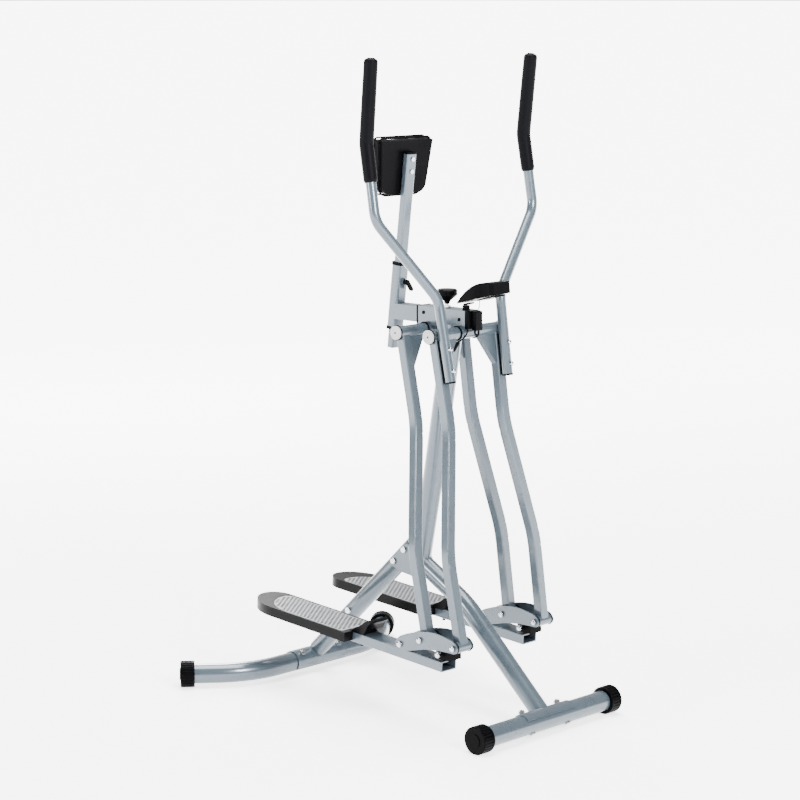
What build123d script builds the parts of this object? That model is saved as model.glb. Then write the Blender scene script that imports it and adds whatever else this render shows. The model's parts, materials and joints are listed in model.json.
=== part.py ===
from build123d import *
import math
import os

# Air-walk glider: a folding-style stand with two pairs of hanging arms, one pedal on each pair,
# two push handles, a stomach pad on a sliding beam and a small console.
# Millimetres, +Z up. The origin is on the floor under the middle of the bounding box.
# The front of the machine is -Y. A user stands on the pedals and faces -Y,
# so the user's right hand is at -X.

os.makedirs("parts", exist_ok=True)

# ---- stand -------------------------------------------------------------------------------------
axis_z = 32.5            # height of both base tubes' axes
base_r = 25.0            # base tube outside radius
wall = 2.2
cap_r = 33.6             # base end cap, flattened where it stands on the floor
cap_len = 36.0
front_y = -451.0         # front base tube
front_half = 246.0       # half its length over the caps
rear_mid_y = 344.0       # straight middle of the rear base tube
rear_end = (361.0, 459.3)   # outer end of the rear base tube over the cap
rear_bend_x = 225.0
rear_bend_r = 230.0
leg_r = 23.0
leg_path = [(-444.0, 38.0), (-195.0, 265.0), (-18.0, 362.0)]    # front leg axis, Y and Z
post_r = 25.0
post_path = [(-147.0, 952.0), (-79.0, 560.0), (-38.0, 352.0)]   # main post axis, Y and Z
strut_top = (-7.0, 376.2)     # rear leg axis at its upper bolt, Y and Z
strut_bolt = (29.0, 342.1)    # rear leg axis at its lower bolt
saddle_half = 84.0            # half length of the saddle plate under each leg
saddle_t = 3.0
saddle_bolt_x = 63.0

# ---- head --------------------------------------------------------------------------------------
pivot_z = 934.0
front_pivot_y = -185.5
pivot_gap = 108.0             # front axle to rear axle, and the same between the lower pivots
rear_pivot_y = front_pivot_y + pivot_gap
axle_r = 8.0
run_gap = 0.05                # running clearance of a bore on its pin
beam_z = 966.0
beam_out = 44.0
beam_wall = 2.6
beam_front_y = -204.0
beam_rear_y = -49.0
inner_beam = 38.0
inner_front_y = -160.0        # front end of the sliding inner beam, inside the outer one

# ---- arms and handles --------------------------------------------------------------------------
arm_len = 729.0
arm_w = 25.0
lean = {-1: 12.1, 1: 8.0}     # forward lean of each side's arms as it stands, degrees
arm_top_x = 104.0
arm_low_x = 172.0
tube_in_x = 31.5              # inner and outer ends of an arm's pivot tube
tube_out_x = 122.0
tube_r = 15.0
low_tube_r = 13.5
low_half = 24.2               # half length of the lower pivot tube
pin_r = 5.0
open_gap = 0.4                # radial clearance of the rear arm's lower pivot, the opened one
handle_r = 12.5
handle_n = -28.2              # handle axis in front of the arm's axis
grip_r = 17.0

# ---- pedal link, measured from its front pivot ---------------------------------------------------
link_x = 172.0
bar_w = 50.0
bar_h = 25.0
bar_wall = 2.5
bar_start = (41.0, -66.0)     # bottom front edge of the bar, Y and Z
bar_slope = 3.5
bar_len = 590.0
lug = (174.0, -21.5)          # rear bolt of the side plates
clamp_bolt = (47.0, -23.0)    # lower bolt of the side plates
plate_t = 3.5
pedal_w = 116.0
toe_w = 62.0                   # width of the toe stop
pedal_in = 4.0               # the pedal sits this much towards the middle of the machine
pedal_front = 300.0           # along the bar, from its front edge
pedal_tip = 676.0

# ---- pad ---------------------------------------------------------------------------------------
pad_post_w = 30.0
pad_post_d = 20.0
pad_lean = 6.83
pad_axis = (57.0, 874.0)      # lower end of the pad post's axis, Y and Z
pad_post_len = 480.0
sleeve_w = 38.0
sleeve_d = 28.0
sleeve_from = 54.0            # along the post's axis
sleeve_to = 207.0
pad_top_w = 186.0
pad_low_w = 160.0
pad_from = 374.0
pad_to = 518.0
board_t = 9.0
cushion_t = 33.0

SIDE = {-1: "right", 1: "left"}


def bar_x(radius, x0, x1, y, z, mode=Mode.ADD):
    """A round bar along X from x0 to x1."""
    with Locations(((x0 + x1) / 2, y, z)):
        Cylinder(radius, abs(x1 - x0), rotation=(0, 90, 0), mode=mode)


def tube_path(points, radius):
    """A polyline with every corner rounded to the same radius."""
    with BuildLine() as path:
        FilletPolyline(*points, radius=radius)
    return path.line


def swept(path, make_section, x_dir=(1, 0, 0), mode=Mode.ADD):
    """Sweep a section, drawn by make_section, along a path."""
    with BuildSketch(Plane(origin=path @ 0, x_dir=x_dir, z_dir=path % 0)) as section:
        make_section()
    sweep(sections=section.sketch, path=path, mode=mode)


def swept_tube(path, radius, inner=0.0, x_dir=(1, 0, 0)):
    swept(path, lambda: Circle(radius), x_dir)
    if inner:
        swept(path, lambda: Circle(inner), x_dir, Mode.SUBTRACT)


def save(builder, name):
    builder.part.label = name
    export_step(builder.part, "parts/" + name + ".step")


# ---- base tubes and caps -----------------------------------------------------------------------
with BuildPart() as front_base_tube:
    half = front_half - 6.0
    bar_x(base_r, -half, half, front_y, axis_z)
    bar_x(base_r - wall, -half, half, front_y, axis_z, Mode.SUBTRACT)
save(front_base_tube, "front_base_tube")

rear_turn = math.degrees(math.atan2(rear_end[1] - rear_mid_y, rear_end[0] - rear_bend_x))
rear_dir = (math.cos(math.radians(rear_turn)), math.sin(math.radians(rear_turn)))
rear_tip = (rear_end[0] - 6.0 * rear_dir[0], rear_end[1] - 6.0 * rear_dir[1])
rear_line = tube_path(
    [
        (-rear_tip[0], rear_tip[1], axis_z),
        (-rear_bend_x, rear_mid_y, axis_z),
        (rear_bend_x, rear_mid_y, axis_z),
        (rear_tip[0], rear_tip[1], axis_z),
    ],
    rear_bend_r,
)
with BuildPart() as rear_base_tube:
    swept_tube(rear_line, base_r, base_r - wall, x_dir=(0, 0, 1))
save(rear_base_tube, "rear_base_tube")


def base_cap(name, x, y, angle):
    """A ribbed end cap. Its outer face is at (x, y) and it points along angle, degrees from +X."""
    out = (math.cos(math.radians(angle)), math.sin(math.radians(angle)), 0)
    plane = Plane(origin=(x, y, axis_z), x_dir=(0, 0, 1), z_dir=out)
    with BuildPart(plane) as cap:
        Cylinder(cap_r, cap_len, align=(Align.CENTER, Align.CENTER, Align.MAX))
        fillet(cap.faces().filter_by(GeomType.PLANE).edges(), radius=2.5)
        with Locations((0, 0, -6.0)):
            Cylinder(base_r + 0.3, cap_len, align=(Align.CENTER, Align.CENTER, Align.MAX), mode=Mode.SUBTRACT)
        with PolarLocations(cap_r + 1.2, 26, start_angle=180 / 26):
            with Locations((0, 0, -4.0)):
                Cylinder(2.6, cap_len - 10, align=(Align.CENTER, Align.CENTER, Align.MAX), mode=Mode.SUBTRACT)
        Cylinder(16, 2, align=(Align.CENTER, Align.CENTER, Align.MIN))
        with Locations((-axis_z, 0, 0)):
            Box(20, 4 * cap_r, 4 * cap_len, align=(Align.MAX, Align.CENTER, Align.CENTER), mode=Mode.SUBTRACT)
    save(cap, name)


for side in SIDE:
    front_angle = 0 if side > 0 else 180
    rear_angle = rear_turn if side > 0 else 180 - rear_turn
    base_cap("front_cap_" + SIDE[side], side * front_half, front_y, front_angle)
    base_cap("rear_cap_" + SIDE[side], side * rear_end[0], rear_end[1], rear_angle)


def saddle(y, toward):
    """A half shell that hugs a base tube on its upper side towards the leg."""
    bar_x(base_r + 0.2 + saddle_t, -saddle_half, saddle_half, y, axis_z)
    bar_x(base_r + 0.2, -saddle_half, saddle_half, y, axis_z, Mode.SUBTRACT)
    with Locations(Location((0, y, axis_z), (toward, 0, 0))):
        Box(3 * saddle_half, 90, 60, align=(Align.CENTER, Align.CENTER, Align.MAX), mode=Mode.SUBTRACT)


# ---- main frame: front leg, post, outer beam and the two cross tubes ------------------------------
leg_line = tube_path([(0, y, z) for y, z in leg_path], 260.0)
post_line = tube_path([(0, y, z) for y, z in post_path], 500.0)
cavity = beam_out - 2 * beam_wall
with BuildPart() as main_frame:
    swept_tube(leg_line, leg_r)
    swept_tube(post_line, post_r)
    saddle(front_y, -38)
    with Locations((0, (beam_front_y + beam_rear_y) / 2, beam_z)):
        Box(beam_out, beam_rear_y - beam_front_y, beam_out)
    for pivot_y in (front_pivot_y, rear_pivot_y):
        bar_x(tube_r + 0.5, -28, 28, pivot_y, pivot_z)
    with Locations((0, (beam_front_y + beam_rear_y) / 2, beam_z)):
        Box(cavity, 3 * beam_out + 40, cavity, mode=Mode.SUBTRACT)
    for pivot_y in (front_pivot_y, rear_pivot_y):
        bar_x(axle_r + 0.3, -30, 30, pivot_y, pivot_z, Mode.SUBTRACT)
    swept(leg_line, lambda: Circle(leg_r - wall), mode=Mode.SUBTRACT)
    swept(post_line, lambda: Circle(post_r - wall), mode=Mode.SUBTRACT)
    bar_x(base_r + 0.2, -saddle_half, saddle_half, front_y, axis_z, Mode.SUBTRACT)
    with Locations((0, -125, beam_z + beam_out / 2)):
        Cylinder(4.3, 12, mode=Mode.SUBTRACT)
save(main_frame, "main_frame")

# ---- rear leg and hub plates ---------------------------------------------------------------------
strut_dir = (strut_bolt[0] - strut_top[0], strut_bolt[1] - strut_top[1])
strut_len = math.hypot(*strut_dir)
strut_u = (strut_dir[0] / strut_len, strut_dir[1] / strut_len)
strut_angle = math.degrees(math.atan2(strut_u[1], strut_u[0]))


def on_strut(along, across=0.0):
    """A Y, Z point by distance down the rear leg from its upper bolt, and above its axis."""
    y = strut_top[0] + along * strut_u[0] - across * strut_u[1]
    z = strut_top[1] + along * strut_u[1] + across * strut_u[0]
    return y, z


strut_end = on_strut(468)
with BuildPart() as rear_leg:
    with BuildLine() as strut_line:
        Line((0, *on_strut(-16)), (0, *strut_end))
    swept_tube(strut_line.line, leg_r)
    saddle(rear_mid_y, 38)
    swept(strut_line.line, lambda: Circle(leg_r - wall), mode=Mode.SUBTRACT)
    bar_x(base_r + 0.2, -saddle_half, saddle_half, rear_mid_y, axis_z, Mode.SUBTRACT)
    swept(leg_line, lambda: Circle(leg_r + 0.4), mode=Mode.SUBTRACT)
    swept(post_line, lambda: Circle(post_r + 0.4), mode=Mode.SUBTRACT)
    for bolt in (strut_top, strut_bolt, on_strut(278)):
        bar_x(5.3, -40, 40, *bolt, Mode.SUBTRACT)
save(rear_leg, "rear_leg")

plate_outline = [(-62, 330), (-38, 314), (-1, 318), (34, 329), (41, 345), (0, 386), (-16, 392), (-44, 374)]
with BuildPart() as hub_plates:
    for side in SIDE:
        with BuildSketch(Plane(origin=(side * 25.5, 0, 0), x_dir=(0, 1, 0), z_dir=(1, 0, 0))):
            with BuildLine():
                Polyline(*plate_outline, close=True)
            make_face()
            fillet(vertices(), radius=6)
        extrude(amount=1.7, both=True)
    for bolt in (strut_top, strut_bolt):
        bar_x(5.3, -40, 40, *bolt, Mode.SUBTRACT)
    swept(post_line, lambda: Circle(post_r + 0.2), mode=Mode.SUBTRACT)
save(hub_plates, "hub_plates")


def cross_bolt(y, z, half, radius=5.0, head_r=8.0, head=5.5):
    """A bolt along X with a domed head at -X and a hex nut at +X."""
    bar_x(radius, -half, half + 3, y, z)
    with BuildSketch(Plane(origin=(half, y, z), x_dir=(0, 1, 0), z_dir=(1, 0, 0))) as nut:
        RegularPolygon(head_r, 6)
    extrude(nut.sketch, amount=head)
    bar_x(head_r, -half - head, -half, y, z)


with BuildPart() as hub_bolts:
    for bolt in (strut_top, strut_bolt):
        cross_bolt(*bolt, 27.3)
    cross_bolt(*on_strut(278), 23.1)
    fillet(hub_bolts.faces().filter_by(Axis.X).group_by(Axis.X)[0].edges(), radius=2)
save(hub_bolts, "hub_bolts")


def base_bolts(name, y, tilt):
    """Two bolts through a base tube and its saddle: domed heads below, nuts above."""
    with BuildPart() as bolts:
        for x in (-saddle_bolt_x, saddle_bolt_x):
            with BuildSketch(Plane(Location((x, y, axis_z), (tilt, 0, 0))).offset(28.6)):
                RegularPolygon(8, 6)
            extrude(amount=6)
            with Locations(Location((x, y, axis_z), (tilt, 0, 0))):
                with Locations((0, 0, 35.6)):
                    Cylinder(4, 4)
                with Locations((0, 0, -26.6)):
                    Cylinder(8, 3.2)
    save(bolts, name)


base_bolts("front_base_bolts", front_y, -38)
base_bolts("rear_base_bolts", rear_mid_y, 38)

# ---- axles, washers and caps at the head ----------------------------------------------------------
with BuildPart() as pivot_axles:
    for pivot_y in (front_pivot_y, rear_pivot_y):
        bar_x(axle_r, -126, 126, pivot_y, pivot_z)
save(pivot_axles, "pivot_axles")

with BuildPart() as pivot_washers:
    for pivot_y in (front_pivot_y, rear_pivot_y):
        for side in SIDE:
            bar_x(18.0, side * 28.2, side * 31.2, pivot_y, pivot_z)
            bar_x(18.4, side * 122.3, side * 124.8, pivot_y, pivot_z)
        bar_x(axle_r + 0.3, -126, 126, pivot_y, pivot_z, Mode.SUBTRACT)
save(pivot_washers, "pivot_washers")

with BuildPart() as pivot_caps:
    for pivot_y in (front_pivot_y, rear_pivot_y):
        for side in SIDE:
            bar_x(16.6, side * 125.0, side * 129.5, pivot_y, pivot_z)
            bar_x(axle_r + 0.3, side * 124, side * 126.3, pivot_y, pivot_z, Mode.SUBTRACT)
            bar_x(2.2, side * 128.0, side * 130.0, pivot_y, pivot_z, Mode.SUBTRACT)
save(pivot_caps, "pivot_caps")

# ---- beam trim -----------------------------------------------------------------------------------
with BuildPart() as beam_trim:
    with Locations((0, beam_front_y - 6, beam_z)):
        Box(beam_out - 1, 12, beam_out - 1)
    fillet(beam_trim.faces().sort_by(Axis.Y)[0].edges(), radius=3)
    with Locations((0, beam_front_y, beam_z)):
        Box(cavity - 0.6, 8, cavity - 0.6, align=(Align.CENTER, Align.MIN, Align.CENTER))
    with Locations((0, beam_rear_y + 0.2, beam_z)):
        Box(beam_out + 1.5, 4, beam_out + 1.5, align=(Align.CENTER, Align.MIN, Align.CENTER))
        Box(inner_beam + 0.8, 20, inner_beam + 0.8, mode=Mode.SUBTRACT)
    for x in (-beam_out / 2, beam_out / 2):
        for y in (-186, -68):
            bar_x(4.5, x, x + math.copysign(1.2, x), y, 973 if y > -100 else 966)
save(beam_trim, "beam_trim")

# ---- pad carriage, post and pad --------------------------------------------------------------------
pad_up = (0, -math.sin(math.radians(pad_lean)), math.cos(math.radians(pad_lean)))
pad_plane = Plane(origin=(0, *pad_axis), x_dir=(1, 0, 0), z_dir=pad_up)


def pad_axis_y(z):
    return pad_axis[0] - (z - pad_axis[1]) * math.tan(math.radians(pad_lean))


sleeve_y = pad_axis_y(beam_z)
with BuildPart() as pad_carriage:
    with BuildSketch(pad_plane.offset(sleeve_from)):
        RectangleRounded(sleeve_w, sleeve_d, 9)
    extrude(amount=sleeve_to - sleeve_from)
    with Locations((0, (sleeve_y + inner_front_y) / 2, beam_z)):
        Box(inner_beam, sleeve_y - inner_front_y, inner_beam)
    with BuildSketch(pad_plane):
        RectangleRounded(pad_post_w + 0.8, pad_post_d + 0.8, 6.4)
    extrude(amount=300, mode=Mode.SUBTRACT)
    with BuildSketch(Plane(origin=(0, inner_front_y - 5, beam_z), x_dir=(1, 0, 0), z_dir=(0, 1, 0))):
        Rectangle(inner_beam - 5, inner_beam - 5)
    extrude(amount=sleeve_y - inner_front_y - 25, mode=Mode.SUBTRACT)
    lever_plane = pad_plane.offset(168)
    lever_hub = Plane(origin=lever_plane.origin, x_dir=(1, 0, 0), z_dir=-lever_plane.y_dir)
    with BuildSketch(lever_hub):
        Circle(4.3)
    extrude(amount=30, mode=Mode.SUBTRACT)
save(pad_carriage, "pad_carriage")

with BuildPart() as sleeve_collars:
    for at in (sleeve_from - 7.2, sleeve_to + 0.2):
        with BuildSketch(pad_plane.offset(at)):
            RectangleRounded(sleeve_w + 3, sleeve_d + 3, 10)
            RectangleRounded(pad_post_w + 0.8, pad_post_d + 0.8, 6.4, mode=Mode.SUBTRACT)
        extrude(amount=7)
save(sleeve_collars, "sleeve_collars")

with BuildPart() as pad_post:
    with BuildSketch(pad_plane):
        RectangleRounded(pad_post_w, pad_post_d, 6)
    extrude(amount=pad_post_len)
    with BuildSketch(pad_plane):
        RectangleRounded(pad_post_w - 4, pad_post_d - 4, 4)
    extrude(amount=pad_post_len, mode=Mode.SUBTRACT)
save(pad_post, "pad_post")


def pad_face(offset):
    """A plane against the rear of the pad post: x across, y up the post, z towards the user."""
    return Plane(origin=(0, *pad_axis), x_dir=(-1, 0, 0), z_dir=-pad_plane.y_dir * -1).offset(offset)


def pad_sketch(grow):
    with BuildLine() as outline:
        Polyline(
            (-pad_low_w / 2 - grow, pad_from - grow),
            (pad_low_w / 2 + grow, pad_from - grow),
            (pad_top_w / 2 + grow, pad_to + grow),
            (-pad_top_w / 2 - grow, pad_to + grow),
            close=True,
        )
    make_face(outline.edges())
    corners = vertices().sort_by(Axis.Y)
    fillet(corners[:2], radius=34 + grow)
    fillet(corners[2:], radius=20 + grow)


with BuildPart() as pad_board:
    with BuildSketch(pad_face(pad_post_d / 2 + 0.2)):
        pad_sketch(-7)
    extrude(amount=board_t)
    with BuildSketch(pad_plane.offset(pad_post_len + 0.2)):
        RectangleRounded(pad_post_w, pad_post_d, 6)
    extrude(amount=4)
save(pad_board, "pad_board")

with BuildPart() as pad_cushion:
    with BuildSketch(pad_face(pad_post_d / 2 + 0.4 + board_t)):
        pad_sketch(0)
    extrude(amount=cushion_t)
    fillet(pad_cushion.faces().sort_by(Axis.Y)[-1].edges(), radius=12)
save(pad_cushion, "pad_cushion")

with BuildPart() as pad_screws:
    for at in (438, 468):
        with Locations(Plane(origin=pad_plane.offset(at).origin, z_dir=-pad_plane.y_dir)):
            with Locations((0, 0, pad_post_d / 2 + 0.1)):
                Cylinder(5.5, 3, align=(Align.CENTER, Align.CENTER, Align.MIN))
save(pad_screws, "pad_screws")

with BuildPart(lever_hub) as pad_lever_screw:
    with Locations((0, 0, pad_post_d / 2 + 0.6)):
        Cylinder(4.2 - run_gap, 10.8, align=(Align.CENTER, Align.CENTER, Align.MIN))
    with BuildSketch(lever_hub.offset(sleeve_d / 2 + 0.3)):
        RegularPolygon(8.5, 6)
    extrude(amount=7)
save(pad_lever_screw, "pad_lever_screw")

with BuildPart(lever_hub) as pad_lever:
    with Locations((0, 0, sleeve_d / 2 + 7.6)):
        Cylinder(6.5, 8, align=(Align.CENTER, Align.CENTER, Align.MIN))
    with BuildSketch(lever_hub.offset(sleeve_d / 2 + 12)) as blade:
        with Locations((6.2, -7.8)):
            RectangleRounded(9, 34, 4, rotation=38.5)
    extrude(amount=7)
save(pad_lever, "pad_lever")

with BuildPart() as beam_knob:
    with BuildSketch(Plane.XZ.offset(125)):
        with BuildLine():
            Polyline((0, 997), (6, 997), (8, 1004), (22, 1016), (25, 1019), (25, 1030), (22, 1032.5), (0, 1032.5), (0, 997))
        make_face()
    revolve(axis=Axis((0, -125, 0), (0, 0, 1)))
save(beam_knob, "beam_knob")

with BuildPart() as beam_knob_screw:
    with Locations((0, -125, beam_z + inner_beam / 2 + 0.6)):
        Cylinder(4.25 - run_gap, 997 - beam_z - inner_beam / 2 - 0.8, align=(Align.CENTER, Align.CENTER, Align.MIN))
    with BuildSketch(Plane.XY.offset(beam_z + beam_out / 2 + 0.3)):
        with Locations((0, -125)):
            RegularPolygon(9, 6)
    extrude(amount=5)
save(beam_knob_screw, "beam_knob_screw")

# ---- console --------------------------------------------------------------------------------------
with BuildPart() as console_housing:
    with BuildSketch(Plane.YZ) as profile:
        with BuildLine():
            Line((-190, 1006), (-302, 1036))
            Line((-302, 1036), (-299, 1063))
            Spline((-299, 1063), (-262, 1060), (-222, 1040), (-190, 1006))
        make_face()
    extrude(amount=36, both=True)
    fillet(console_housing.edges().filter_by(Axis.Z, tolerance=10).group_by(Axis.Y)[0], radius=9)
    with Locations(Location((0, -252, 1056), (-17, 0, 0))):
        Box(52, 44, 10, mode=Mode.SUBTRACT)
    with Locations(Location((0, -213, 1033), (-41, 0, 0))):
        Cylinder(7.3, 9, mode=Mode.SUBTRACT)
save(console_housing, "console_housing")

with BuildPart() as console_screen:
    with Locations(Location((0, -252, 1056), (-17, 0, 0))):
        with Locations((0, 0, -0.9)):
            Box(51, 43, 4, align=(Align.CENTER, Align.CENTER, Align.MAX))
save(console_screen, "console_screen")

with BuildPart() as console_bracket:
    with BuildSketch(Plane.XY.offset(beam_z + beam_out / 2 + 0.1)):
        with Locations((0, -188)):
            Circle(9)
    extrude(amount=10.5)
    with Locations(Location((0, -268, 1023.6), (-15, 0, 0))):
        Box(44, 50, 3)
    with Locations(Location((0, -196, 1003.5), (-15, 0, 0))):
        Box(24, 14, 4)
save(console_bracket, "console_bracket")

with BuildPart() as console_button:
    with Locations(Location((0, -213, 1033), (-41, 0, 0))):
        Cylinder(7, 5)
save(console_button, "console_button")

with BuildPart() as sensor_box:
    with Locations((0, -224, 965)):
        Box(24, 14, 46)
    fillet(sensor_box.edges(), radius=2)
save(sensor_box, "sensor_box")


def cord(name, points, radius, bend):
    """A round cord along straight runs joined by arcs."""
    line = tube_path(points, bend)
    with BuildPart() as lead:
        with BuildSketch(Plane(origin=line @ 0, z_dir=line % 0)) as section:
            Circle(radius)
        sweep(sections=section.sketch, path=line)
    save(lead, name)


cord("console_cord", [(-8, -238, 1017.4), (-9, -241, 1006), (-2, -232, 997), (-4, -227, 988.3)], 1.0, 3.0)
cord("sensor_cord", [(-16, -209, 944.3), (-19, -208, 924), (-14.3, -178.4, 911.9)], 1.8, 12.0)

plug_top = Vector(-14, -177, 911)
plug_low = Vector(-10, -157, 888)
with BuildPart() as sensor_plug:
    with Locations(Plane(origin=plug_top, z_dir=plug_low - plug_top)):
        Cylinder(2.8, 6, align=(Align.CENTER, Align.CENTER, Align.MIN))
        with Locations((0, 0, 5)):
            Cylinder(4.8, (plug_low - plug_top).length - 5, align=(Align.CENTER, Align.CENTER, Align.MIN))
    with Locations(Location((0, -136.8, 893), (math.degrees(math.atan2(68, 392)), 0, 0))):
        Cylinder(post_r, 120, mode=Mode.SUBTRACT)
save(sensor_plug, "sensor_plug")

# ---- arms ------------------------------------------------------------------------------------------


def arm_plane(side, pivot_y):
    """The plane of one hanging arm: x across the machine, y down the arm, z towards the rear."""
    turn = math.radians(lean[side])
    return Plane(
        origin=(0, pivot_y, pivot_z),
        x_dir=(1, 0, 0),
        z_dir=(0, math.cos(turn), -math.sin(turn)),
    )


def in_plane(plane, points):
    return [plane.from_local_coords(Vector(*point)) for point in points]


def arm(name, side, pivot_y, low_bore):
    plane = arm_plane(side, pivot_y)
    low = plane.from_local_coords(Vector(0, arm_len, 0))
    top_x = side * arm_top_x
    low_x = side * arm_low_x
    line = tube_path(
        in_plane(plane, [(top_x, 0, 0), (top_x, 222, 0), (low_x, 520, 0), (low_x, arm_len, 0)]),
        300.0,
    )
    with BuildPart() as piece:
        swept(line, lambda: RectangleRounded(arm_w, arm_w, 3))
        bar_x(tube_r, side * tube_in_x, side * tube_out_x, pivot_y, pivot_z)
        bar_x(low_tube_r, low_x - low_half, low_x + low_half, low.Y, low.Z)
        with BuildSketch(plane.offset(-8)) as gusset:
            with BuildLine() as edge:
                Polyline(*[(side * x, d) for x, d in [(36, 6), (98, 6), (98, 84), (88, 84)]], close=True)
            make_face(edge.edges())
        extrude(gusset.sketch, amount=16)
        swept(line, lambda: Rectangle(arm_w - 2 * wall, arm_w - 2 * wall), mode=Mode.SUBTRACT)
        bar_x(axle_r + run_gap, side * 20, side * 130, pivot_y, pivot_z, Mode.SUBTRACT)
        bar_x(low_bore, low_x - 40, low_x + 40, low.Y, low.Z, Mode.SUBTRACT)
    save(piece, name)


def handle(side):
    """The push handle, its foam grip, its end cap and spacer, and the bolts that hold it."""
    plane = arm_plane(side, front_pivot_y)
    top_x = side * arm_top_x
    knee_r = 60.0
    outer = [(side * 262, -281, -19), (side * 253, -462, -19), (side * 249, -646, -70)]
    path = [(top_x, 112, handle_n), (top_x, -84, handle_n)] + outer
    line = tube_path(in_plane(plane, path), knee_r)
    with BuildPart() as tube:
        swept_tube(line, handle_r, handle_r - wall)
    save(tube, "handle_" + SIDE[side])
    low = [outer[0][i] + 0.5 * (outer[1][i] - outer[0][i]) for i in range(3)]
    top = [outer[2][0], outer[2][1] - 7, outer[2][2] - 2]
    grip_line = tube_path(in_plane(plane, [low, outer[1], top]), knee_r)
    with BuildPart() as grip:
        swept_tube(grip_line, grip_r)
        fillet(grip.faces().filter_by(GeomType.PLANE).edges(), radius=5)
        swept(line, lambda: Circle(handle_r + 0.3), mode=Mode.SUBTRACT)
    save(grip, "grip_" + SIDE[side])
    with BuildPart() as trim:
        gap = handle_n + handle_r
        with BuildSketch(Plane(origin=plane.from_local_coords(Vector(0, 0, -arm_w / 2 - 0.1)),
                               x_dir=plane.x_dir, z_dir=plane.z_dir)) as strip:
            with Locations((top_x, 64)):
                Rectangle(15, 98)
        extrude(strip.sketch, amount=gap + arm_w / 2 - 0.9)
        with Locations(Plane(origin=line @ 0, z_dir=-(line % 0))):
            Cylinder(handle_r + 0.8, 4, align=(Align.CENTER, Align.CENTER, Align.MIN))
        swept(line, lambda: Circle(handle_r + 0.05), mode=Mode.SUBTRACT)
    save(trim, "handle_trim_" + SIDE[side])
    with BuildPart() as bolts:
        for down in (36, 88):
            with Locations(Plane(origin=plane.from_local_coords(Vector(top_x, down, handle_n)), z_dir=plane.z_dir)):
                with Locations((0, 0, -handle_r - 0.4)):
                    Cylinder(5.2, 4.5, align=(Align.CENTER, Align.CENTER, Align.MAX))
            with BuildSketch(Plane(origin=plane.from_local_coords(Vector(top_x, down, arm_w / 2 + 0.1)),
                                   z_dir=plane.z_dir)) as nut:
                RegularPolygon(6.5, 6)
            extrude(nut.sketch, amount=5)
    save(bolts, "handle_bolts_" + SIDE[side])


# ---- pedal link ---------------------------------------------------------------------------------------
toe_edge = [
    (316, 25.4), (316, 27.5), (302, 30.5), (278, 45), (254, 62.5), (246, 66.5), (240, 65), (239, 60), (245, 56),
    (250, 50), (256, 36), (262, 27), (266, 25.4),
]
plate_edge = [
    (-13, 2), (-3, 14), (18, 20), (50, 25), (88, 24), (124, 17), (161, 5), (184, -9), (190, -24),
    (183, -37), (170, -38), (147, -33), (122, -27), (96, -20.5), (65, -16), (36, -13.5), (8, -13), (-9, -10),
]


def sole(outer, inner, side, front, outer_from, inner_from, tip, tip_in):
    """The outline of a sole: a box at the front, and a lopsided round at the heel."""
    peak = inner - side * tip_in
    turns = [math.radians(15 * step) for step in range(7)]
    heel = [(inner_from + (tip - inner_from) * math.sin(t), peak + (inner - peak) * math.cos(t)) for t in turns]
    heel += [
        (outer_from + (tip - outer_from) * math.sin(t), peak + (outer - peak) * math.cos(t))
        for t in reversed(turns[:-1])
    ]
    with BuildLine() as edge:
        Polyline((outer_from, outer), (front, outer), (front, inner), (inner_from, inner))
        Spline(*heel)
    make_face(edge.edges())


def tread_plan(outer, inner, side, grow):
    """The tread's outline; grow widens it all round."""
    sole(
        outer + side * (6.5 - grow), inner - side * (6.5 - grow), side,
        316.5 - grow, 516, 592, 616 + grow, 20,
    )


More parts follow.
